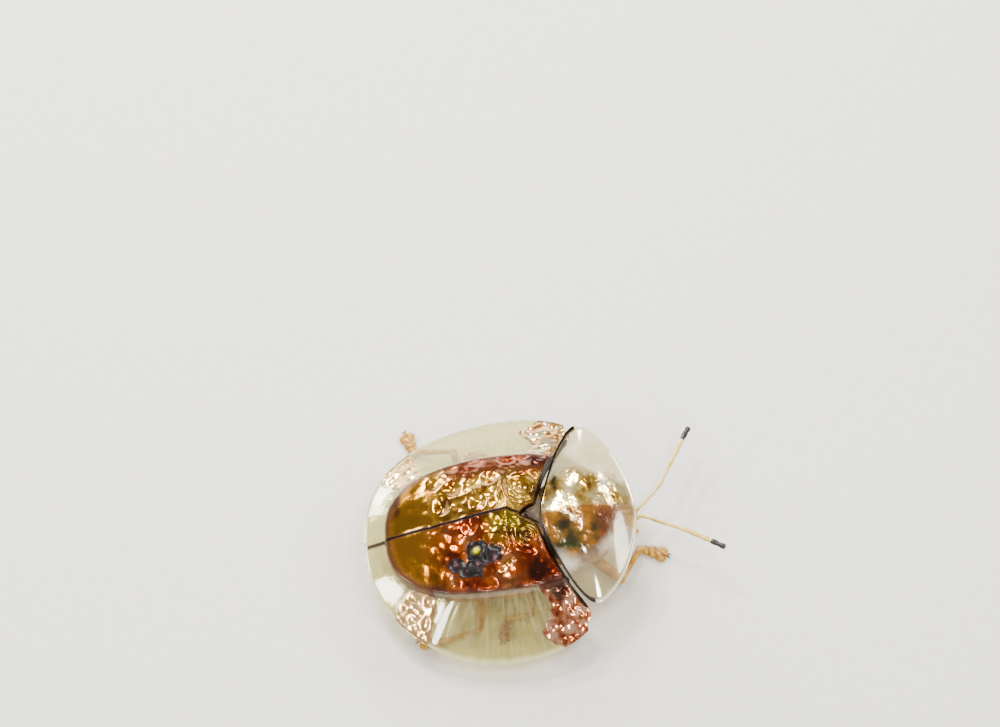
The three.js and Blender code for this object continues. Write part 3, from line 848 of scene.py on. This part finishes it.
def neck_shield():
    columns, rows = 240, 70
    edges = [curve_point(SHIELD_EDGE, column / columns, closed=True) for column in range(columns + 1)]
    directions = [math.atan2(side, fore - SHIELD_MIDDLE) for side, fore in edges]

    def place_at(u, v):
        edge_side, edge_fore = edges[round(u * columns)]
        side = edge_side * v
        fore = SHIELD_MIDDLE + (edge_fore - SHIELD_MIDDLE) * v
        edge_up = shield_edge_up(edge_side, edge_fore)
        up = edge_up + (SHIELD_UP["crown"] - edge_up) * (1 - v**2.1)
        over_neck = ease(1.0, 0.6, math.hypot(side / 2.6, (fore - 3.2) / 2.0))
        ripple = 0.09 * cloud(side, fore, 1.05, 2.0) * over_neck * ease(1.0, 0.9, v)
        bead = 0.03 * ease(0.96, 0.985, v)
        return place(side, fore, up + ripple + bead)

    def share_to_edge(side, fore):
        """0 in the shield's middle and 1 at its edge."""
        direction = math.atan2(side, fore - SHIELD_MIDDLE)
        nearest = min(range(columns), key=lambda column: abs(directions[column] - direction))
        edge_side, edge_fore = edges[nearest]
        reach = math.hypot(edge_side, edge_fore - SHIELD_MIDDLE)
        return math.hypot(side, fore - SHIELD_MIDDLE) / reach

    def in_core(side, fore):
        """Millimetres inside the part that isn't clear: over the neck, and a band ahead of it."""
        neck = 1.9 * (1 - math.hypot(side / 2.2, (fore - 3.25) / 1.95))
        band = min(side - 0.1, 1.3 - side, 6.0 - fore)
        return max(neck, band)

    piece = sheet("neck_shield", columns, rows, place_at, CUTICLE)
    mark(piece, {
        "core": in_core,
        "gilt": lambda side, fore: side - 0.18,
        "front": lambda side, fore: min(fore - 4.3, 0.05 - side),
        "edge": share_to_edge,
        "rear_rim_and_shadow": lambda side, fore: min(4.5 * (share_to_edge(side, fore) - 0.952), 3.8 - fore),
        "stain": lambda side, fore: inside_spots(side, fore, SHIELD_STAINS),
    })
    finished(piece, clear_shield, "shield", "pronotum")


neck_shield()


def barrel(angle, squareness=2.4):
    """Across and upward shares of a rounded ring, both from -1 to 1."""
    across = math.copysign(abs(math.cos(angle)) ** (2 / squareness), math.cos(angle))
    upward = math.copysign(abs(math.sin(angle)) ** (2 / squareness), math.sin(angle))
    return across, upward


def prothorax():
    def place_at(u, v):
        across, upward = barrel(2 * math.pi * u)
        fore = NECK["rear"] + (NECK["front"] - NECK["rear"]) * v
        half_width = NECK["half_width"] * (1 - 0.25 * (2 * v - 1) ** 4)
        top = min(NECK["highest"], NECK["top"] - NECK["slope"] * fore)
        middle = (top + NECK["underside"]) / 2
        side = across * half_width
        hip_hollow = 0.14 * lump(abs(side) - 0.62, 0.45) * lump(fore - 3.3, 0.6) * (upward < -0.3)
        keel = -0.07 * lump(side, 0.16) * (upward < -0.3)
        dimples = 0.5 * pits(side, fore, 0.35, 0.05)
        return place(side, fore, middle + upward * (top - middle) + hip_hollow + keel + dimples)

    piece = tube("prothorax", 96, 60, place_at)
    # Its top is bronze where it shows behind the shield: a dark body colour and also painted shade of the
    # gap there.
    two_toned(piece, belly, bronze, lambda at: at.z > 3.2 * MM and beetle_place(at)[1] < 2.3)
    finished(piece, None, "shield", "pronotum")


prothorax()


# The body under the wing cases, with its five belly plates


def under_body():
    front, tail = BODY["front"], BODY["tail"]

    def place_at(u, v):
        across, upward = barrel(2 * math.pi * u)
        fore = front + (tail - front) * v
        back = max((fore + 0.75) / (tail + 0.75), 0)
        half_width = BODY["half_width"] * max(1 - back**3.2, 0) ** 0.5 + 0.1
        half_width *= 1 - 0.3 * ease(0.4, front, fore)
        side = across * half_width
        room = 0.5 - 0.2 * ease(0.3, 1.2, fore)
        top = shell_up(side, fore) - room
        belly_up = BODY["underside"] + BODY["tail_rise"] * back**3
        middle = (shell_up(half_width, fore) - room + belly_up) / 2
        if upward > 0:
            return place(side, fore, middle + upward * (top - middle))
        plate_steps = 0.0
        for edge in BELLY_PLATE_EDGES:
            behind = edge - fore
            plate_steps += 0.08 * (ease(-0.02, 0.03, behind) - ease(0.0, 0.75, behind))
        wrinkle = 0.02 * noise.noise(Vector((side * 2.2, fore * 6, 1.0)))
        keel = -0.06 * lump(side, 0.5) * ease(-0.9, 0.4, fore) + 0.05 * lump(side, 0.05) * (fore > -0.9)
        dimples = 0.6 * pits(side, fore, 0.4, 0.05)
        under = middle + upward * (middle - belly_up)
        return place(side, fore, under + plate_steps + wrinkle + keel + dimples)

    piece = tube("under_body", 110, 240, place_at)
    # Its top is bronze where it shows in front of the wing cases: a dark body colour and also painted
    # shade of the gap there.
    two_toned(piece, belly, bronze, lambda at: at.z > 2.9 * MM and beetle_place(at)[1] > 0.9)
    finished(piece, None, "amber_skin", "thorax", "abdomen")


under_body()


# Head, eyes and feelers. The head is turned a little to the beetle's left.

HEAD_TURN = math.radians(12)
NECK_JOINT = (0, 4.85, 1.9)
HEAD_RINGS = [  # fore, half width, top and underside
    (4.85, 0.72, 2.28, 1.62), (5.0, 0.86, 2.36, 1.46), (5.25, 0.93, 2.4, 1.36), (5.55, 0.9, 2.4, 1.32),
    (5.8, 0.76, 2.38, 1.34), (6.0, 0.62, 2.32, 1.42), (6.13, 0.5, 2.22, 1.56), (6.2, 0.3, 2.05, 1.75),
]


def turn_head(piece):
    edit_all(piece)
    bpy.ops.transform.rotate(value=-HEAD_TURN, orient_axis="Z", center_override=place(*NECK_JOINT))
    bpy.ops.object.mode_set(mode="OBJECT")


def skull():
    def place_at(u, v):
        at = v * (len(HEAD_RINGS) - 1)
        index = min(int(at), len(HEAD_RINGS) - 2)
        local = ease(0, 1, at - index) * 0.5 + (at - index) * 0.5
        fore, half_width, top, underside = (
            a + (b - a) * local for a, b in zip(HEAD_RINGS[index], HEAD_RINGS[index + 1])
        )
        across, upward = barrel(2 * math.pi * u, 2.2)
        side = across * half_width
        on_top = ease(0.1, 0.5, upward)
        groove = 0.05 * lump(side, 0.05) * on_top
        brows = 0.05 * lump(abs(side) - 0.55, 0.14) * on_top
        dimples = pits(side, fore, 0.22, 0.025) * on_top
        middle = (top + underside) / 2
        return place(side, fore, middle + upward * (top - middle) - groove + brows + dimples)

    return tube("skull", 96, 84, place_at)


def palp_width(v):
    """Three beads along a palp and a blunt end."""
    return 0.07 * (1 + 0.3 * math.sin(v * 6 * math.pi - 1)) * (1 - 0.7 * ease(0.86, 1, v))


def head():
    pieces = [
        skull(),
        ball("face_plate", (0, 6.1, 1.8), (0.36, 0.12, 0.2)),
        ball("upper_lip", (0, 6.04, 1.5), (0.3, 0.14, 0.15)),
        ball("chin", (0, 5.55, 1.27), (0.32, 0.4, 0.12), taper=-0.2),
    ]
    for sign in (-1, 1):
        outer = [(0.42 * sign, 5.7, 1.3), (0.56 * sign, 5.9, 1.16), (0.5 * sign, 6.1, 1.1),
                 (0.36 * sign, 6.2, 1.12)]
        inner = [(0.2 * sign, 5.6, 1.2), (0.3 * sign, 5.78, 1.08), (0.24 * sign, 5.95, 1.05)]
        pieces += [
            ball("socket", (0.16 * sign, 6.14, 2.1), (0.15, 0.12, 0.15)),
            ball("cheek", (0.62 * sign, 5.75, 1.5), (0.24, 0.36, 0.2), turn=-0.35 * sign),
            limb("palp", outer, palp_width, around=12, along=36),
            limb("lip_palp", inner, palp_width, around=12, along=30),
        ]
    head_skin = joined("head_skin", pieces)
    turn_head(head_skin)
    finished(head_skin, amber, "amber_skin", "head")

    jaws = []
    for sign in (-1, 1):
        jaw_path = [(0.34 * sign, 5.85, 1.36), (0.3 * sign, 6.05, 1.3), (0.16 * sign, 6.16, 1.28),
                    (0.03 * sign, 6.14, 1.28)]
        jaws.append(limb("jaw", jaw_path, lambda v: 0.12 * (1 - 0.75 * v), around=14, along=20))
    jaw_pair = joined("jaws", jaws)
    turn_head(jaw_pair)
    finished(jaw_pair, brown, "dark_shell")

    for sign, side_name in ((1, "left"), (-1, "right")):
        eye_at = (0.88 * sign, 5.42, 1.9)
        eye = ball(f"compound_eye_{side_name}", eye_at, (0.36, 0.48, 0.42), segments=48)
        turn_head(eye)
        finished(eye, eye_black, "eye", f"eye_{side_name}")


head()

FEELERS = {
    "left": [(0.42, 6.18, 2.1), (0.66, 6.52, 2.2), (1.5, 7.5, 2.45), (2.6, 8.22, 2.6),
             (3.64, 8.85, 2.62), (4.25, 9.27, 2.6)],
    "right": [(0.12, 6.24, 2.1), (0.06, 6.62, 2.22), (-0.45, 7.45, 2.42), (-1.0, 8.4, 2.6),
              (-1.62, 9.4, 2.62), (-2.14, 10.2, 2.6)],
}
FEELER_JOINTS = 11
FEELER_TIP = 0.78


def feeler_width(v):
    """Eleven joints: a stout first one, thin ones after it and four wider ones at the end."""
    within = v * FEELER_JOINTS % 1
    stout = 0.05 * ease(0.11, 0.05, v)
    swell = 0.08 + stout + 0.045 * ease(0.5, 0.72, v)
    joint = 0.74 + 0.34 * math.sin(math.pi * (0.12 + 0.82 * within))
    return swell * joint * (1 - 0.75 * ease(0.975, 1.0, v))


def feeler(side_name):
    bends = FEELERS[side_name]
    piece = limb(f"feeler_{side_name}", bends, feeler_width, around=18, along=176)
    tip = place(*bends[-1])
    two_toned(piece, straw, black, lambda at: (at - tip).length < FEELER_TIP * MM)
    finished(piece, None, "pale_yellow", f"antenna_{side_name}")


feeler("left")
feeler("right")


# Legs: hip, knee, ankle and toe of each, as the beetle stands

STANCE = {
    "front_left": [(0.62, 3.3, 1.15), (2.7, 3.7, 1.1), (3.0, 4.35, 0.42), (3.25, 5.45, 0.14)],
    "front_right": [(-0.62, 3.3, 1.15), (-2.55, 5.2, 1.0), (-0.7, 6.3, 0.42), (-1.24, 7.59, 0.14)],
    "middle_left": [(1.25, 0.9, 1.2), (4.25, 0.9, 1.0), (4.9, -0.35, 0.42), (5.1, -1.6, 0.14)],
    "middle_right": [(-1.25, 0.9, 1.2), (-3.75, 0.75, 1.0), (-3.5, -0.45, 0.42), (-4.65, -0.75, 0.14)],
    "hind_left": [(1.25, -1.15, 1.2), (5.2, -2.15, 0.85), (5.62, -4.05, 0.42), (6.85, -4.45, 0.14)],
    "hind_right": [(-1.25, -1.15, 1.2), (-4.2, -1.75, 1.0), (-4.3, -3.5, 0.42), (-4.1, -4.8, 0.14)],
}
FOOT_PADS = [(0.0, 0.3, 0.22), (0.24, 0.54, 0.28), (0.46, 0.88, 0.36)]  # start, end and half width
PAD_UP, PAD_HALF_HEIGHT = 0.15, 0.12
LOBE_UP, LOBE_HALF_HEIGHT = 0.13, 0.11
SHIN_END_UP, CLAW_UP = 0.27, 0.22
HAIR_LENGTH, HAIR_RADIUS, HAIRS_A_LEG = 0.17, 0.011, 60
HAIR_PATCH = 0.003  # width of a hair's place in the UV map


def between(a, b, share, up=None):
    """The place at a share of the way from a to b, moved to the height up if there is one."""
    point = [p + (q - p) * share for p, q in zip(a, b)]
    if up is not None:
        point[2] = up
    return tuple(point)


def hip_width(v):
    return 0.46 - 0.2 * v


def thigh_width(v):
    return 0.14 + 0.16 * math.sin(math.pi * v**0.8) + 0.02 * ease(0.9, 1, v)


def shin_width(v):
    return (0.11 + 0.06 * v**1.5 + 0.03 * ease(0.85, 0.94, v)) * (1 - 0.5 * ease(0.94, 1, v))


def foot_pads(ankle, toe):
    """Three padded foot joints, each of two lobes on a stalk, the last the widest."""
    turn = math.atan2(toe[0] - ankle[0], toe[1] - ankle[1])
    foot_length = math.dist(ankle[:2], toe[:2])
    pads = []
    for start, end, half_width in FOOT_PADS:
        middle = between(ankle, toe, (start + end) / 2, PAD_UP)
        half_length = foot_length * (end - start) / 2
        pads.append(ball("pad", middle, (half_width * 0.85, half_length, PAD_HALF_HEIGHT), turn))
        for sign in (-1, 1):
            out, ahead = sign * half_width * 0.5, 0.3 * half_length
            lobe = (middle[0] + out * math.cos(turn) + ahead * math.sin(turn),
                    middle[1] - out * math.sin(turn) + ahead * math.cos(turn), LOBE_UP)
            lobe_size = (half_width * 0.55, half_length * 0.9, LOBE_HALF_HEIGHT)
            pads.append(ball("lobe", lobe, lobe_size, turn + sign * 0.16))
    return pads


def claws(name, ankle, toe):
    """Two hooks that spread from the last foot joint and bend down."""
    turn = math.atan2(toe[0] - ankle[0], toe[1] - ankle[1])
    pair = []
    for sign in (-1, 1):
        base = between(ankle, toe, 0.93, CLAW_UP)
        path = [base]
        for spread, ahead, up in ((0.65, 0.11, 0.24), (0.5, 0.18, 0.17), (0.38, 0.2, 0.07)):
            out = turn + sign * spread
            path.append((base[0] + ahead * math.sin(out), base[1] + ahead * math.cos(out), up))
        pair.append(limb("claw", path, lambda v: 0.045 * (1 - 0.85 * v), around=10, along=16))
    finished(joined(f"claws_{name}", pair), brown, "amber_skin")


def one_hair():
    """A thin spike that stands on the origin, bent a little at half its height."""
    deselect_all()
    bpy.ops.mesh.primitive_cone_add(vertices=5, radius1=HAIR_RADIUS * MM, radius2=0.001 * MM,
                                    depth=HAIR_LENGTH * MM)
    spike = bpy.context.object
    edit_all(spike)
    bpy.ops.transform.translate(value=(0, 0, HAIR_LENGTH * MM / 2))
    bpy.ops.mesh.bisect(plane_co=(0, 0, HAIR_LENGTH * MM / 2), plane_no=(0, 0, 1))
    bpy.ops.transform.translate(value=(0.025 * MM, 0, 0))
    bpy.ops.object.mode_set(mode="OBJECT")
    smooth(spike, 80)
    spike.data.uv_layers[0].name = "OFBake"
    return spike


def leg_hairs(name, number, joints):
    """Hairs on the lower shin and round the foot pads."""
    knee, ankle, toe = joints[1:]
    chance = random.Random(20 + number)
    spike = one_hair()
    hairs = []
    for index in range(HAIRS_A_LEG):
        if index % 3 == 0:
            share, around = chance.uniform(0.35, 0.95), chance.uniform(0, 2 * math.pi)
            start, end, reach = knee, (*ankle[:2], 0.3), shin_width(share) * 0.9
        else:
            share, around = chance.uniform(0.03, 0.88), chance.choice((0, math.pi))
            start, end = (*ankle[:2], 0.14), (*toe[:2], 0.14)
            reach = 0.95 * max(half for first, last, half in FOOT_PADS if first <= share <= last)
        along = (Vector(end) - Vector(start)).normalized()
        sideways = along.cross(Vector((0, 0, 1))).normalized()
        out = sideways * math.cos(around) + Vector((0, 0, 1)) * abs(math.sin(around))
        root = Vector(between(start, end, share)) + out * reach
        lean = (out + along * chance.uniform(0.5, 1.1)).normalized()
        x, y, z = lean
        # Fore is -Y in the frame.
        facing = Vector((x, -y, z)).to_track_quat("Z", "X").to_matrix().to_4x4()
        size = chance.uniform(0.6, 1.1)
        one = spike.copy()
        one.data = spike.data.copy()
        one.data.transform(Matrix.Translation(place(*root)) @ facing @ Matrix.Scale(size, 4))
        # Each hair has its own small patch on an unwrap of the leg: along it and around it.
        patch_u = (number + 0.1 + 0.8 * share) / 6
        patch_v = 0.1 + 0.8 * around / (2 * math.pi)
        for corner in one.data.uv_layers["OFBake"].data:
            corner.uv = (patch_u + HAIR_PATCH * corner.uv[0], patch_v + HAIR_PATCH * corner.uv[1])
        bpy.context.collection.objects.link(one)
        hairs.append(one)
    bpy.data.objects.remove(spike)
    finished(joined(f"leg_{name}_hairs", hairs), hair, "pale_yellow")


def leg(name, number, joints):
    hip, knee, ankle, toe = joints
    hip_path = [(hip[0] * 0.5, hip[1], 1.9), between(hip, knee, 0.02, 1.42), between(hip, knee, 0.14)]
    thigh_path = [between(hip, knee, 0.1), between(hip, knee, 0.5, knee[2] + 0.1), knee]
    shin_path = [knee, between(knee, ankle, 0.5), (*ankle[:2], SHIN_END_UP)]
    claw_path = [between(ankle, toe, share, up) for share, up in ((0.7, 0.2), (0.84, 0.24), (0.96, 0.22))]
    pieces = [
        limb("hip", hip_path, hip_width, around=24, along=24),
        ball("hip_ring", between(hip, knee, 0.13), (0.25, 0.25, 0.23)),
        limb("thigh", thigh_path, thigh_width, flatness=0.85, along=30, around=20),
        ball("knee", knee, (0.155, 0.155, 0.15)),
        limb("shin", shin_path, shin_width, along=30, around=20),
        ball("ankle", between(ankle, toe, 0.04, 0.19), (0.15, 0.15, 0.14)),
        *foot_pads(ankle, toe),
        limb("claw_joint", claw_path, lambda v: 0.06 + 0.025 * v, around=12, along=12),
    ]
    finished(joined(f"leg_{name}_skin", pieces), amber, "amber_skin", f"leg_{name}")
    claws(name, ankle, toe)
    leg_hairs(name, number, joints)


for leg_number, (leg_name, leg_joints) in enumerate(STANCE.items()):
    leg(leg_name, leg_number, leg_joints)


# Floor, light and camera

FLOOR_SIZE = 1.2
SKY_COLOUR, SKY_BRIGHTNESS = (0.93, 0.96, 1.0, 1.0), 0.45


def floor():
    deselect_all()
    bpy.ops.mesh.primitive_plane_add(size=FLOOR_SIZE)
    card = bpy.context.object
    card.name = "studio_floor"
    card.data.materials.append(card_material())


LAMP_DISTANCE = 0.11
LAMPS = [  # name, direction as side, fore and up, width and height in metres, and brightness
    ("key", (0.3, -0.1, 1.0), 0.020, 0.020, 48),
    ("low_left", (0.85, -0.5, 0.2), 0.030, 0.020, 26),
    ("behind_left", (0.72, -0.62, 0.32), 0.030, 0.020, 16),
    ("behind", (-0.18, -0.79, 0.6), 0.045, 0.016, 18),
    ("right", (-0.66, -0.5, 0.56), 0.016, 0.020, 22),
    ("ahead_right", (-0.58, 0.59, 0.54), 0.016, 0.016, 24),
    ("over_right_tip", (-0.21, 0.2, 0.96), 0.032, 0.026, 24),
    ("over_left_tip", (0.84, 0.15, 0.52), 0.036, 0.026, 22),
    ("over_gold", (0.5, -0.25, 0.86), 0.018, 0.018, 60),
    ("over_band", (0.47, 0.58, 0.66), 0.026, 0.014, 22),
    ("ahead", (0.2, 1.0, 0.8), 0.040, 0.026, 7),
]


def lights():
    for name, (side, fore, up), width, height, brightness in LAMPS:
        toward = Vector((side, -fore, up)).normalized()
        bpy.ops.object.light_add(type="AREA", location=toward * LAMP_DISTANCE)
        lamp = bpy.context.object
        lamp.name = name
        lamp.data.shape = "ELLIPSE"
        lamp.data.size = width
        lamp.data.size_y = height
        lamp.data.energy = brightness * math.pi * math.pi * width * height / 4
        lamp.rotation_mode = "QUATERNION"
        lamp.rotation_quaternion = toward.to_track_quat("Z", "Y")
    world = bpy.data.worlds.new("studio")
    world.use_nodes = True
    background = world.node_tree.nodes["Background"]
    background.inputs["Color"].default_value = SKY_COLOUR
    background.inputs["Strength"].default_value = SKY_BRIGHTNESS
    bpy.context.scene.world = world


# The camera looks down from the beetle's right side, as the photograph does.
LEAN, PITCH, ROLL = (math.radians(angle) for angle in (22.73, 0.72, 6.7))
DISTANCE = 150.0
AIM_UP = 2.35  # the height on the beetle that DISTANCE is measured from
PIXELS_PER_MM = 21.04
PICTURE = (1000, 727)
SENSOR = 36.0
ANCHOR_UP = 0.35  # the height of the point on the midline that falls on ANCHOR_PIXEL
ANCHOR_PIXEL = (508.7, 548.9)


def camera():
    level = math.cos(PITCH)
    back = Vector((-math.sin(LEAN) * level, -math.sin(PITCH), math.cos(LEAN) * level))
    ahead = Vector((0, -1, 0))
    level_right = (ahead - back * ahead.dot(back)).normalized()
    level_up = back.cross(level_right)
    right = level_right * math.cos(ROLL) - level_up * math.sin(ROLL)
    upward = level_right * math.sin(ROLL) + level_up * math.cos(ROLL)
    focal_pixels = PIXELS_PER_MM * DISTANCE
    spot = place(0, 0, AIM_UP) + back * DISTANCE * MM
    seen = (place(0, 0, ANCHOR_UP) - spot).normalized()
    across = (ANCHOR_PIXEL[0] - PICTURE[0] / 2) / focal_pixels
    down = (ANCHOR_PIXEL[1] - PICTURE[1] / 2) / focal_pixels
    forward = (seen + upward * down - right * across).normalized()
    right = (right - forward * right.dot(forward)).normalized()
    upward = right.cross(forward)
    bpy.ops.object.camera_add(location=spot)
    view = bpy.context.object
    view.name = "camera"
    view.data.sensor_width = SENSOR
    view.data.lens = focal_pixels * SENSOR / PICTURE[0]
    view.data.clip_start = 0.001
    view.rotation_mode = "QUATERNION"
    view.rotation_quaternion = Matrix((right, upward, -forward)).transposed().to_quaternion()
    bpy.context.scene.camera = view
    bpy.context.scene.view_settings.look = "AgX - Medium High Contrast"


floor()
lights()
camera()
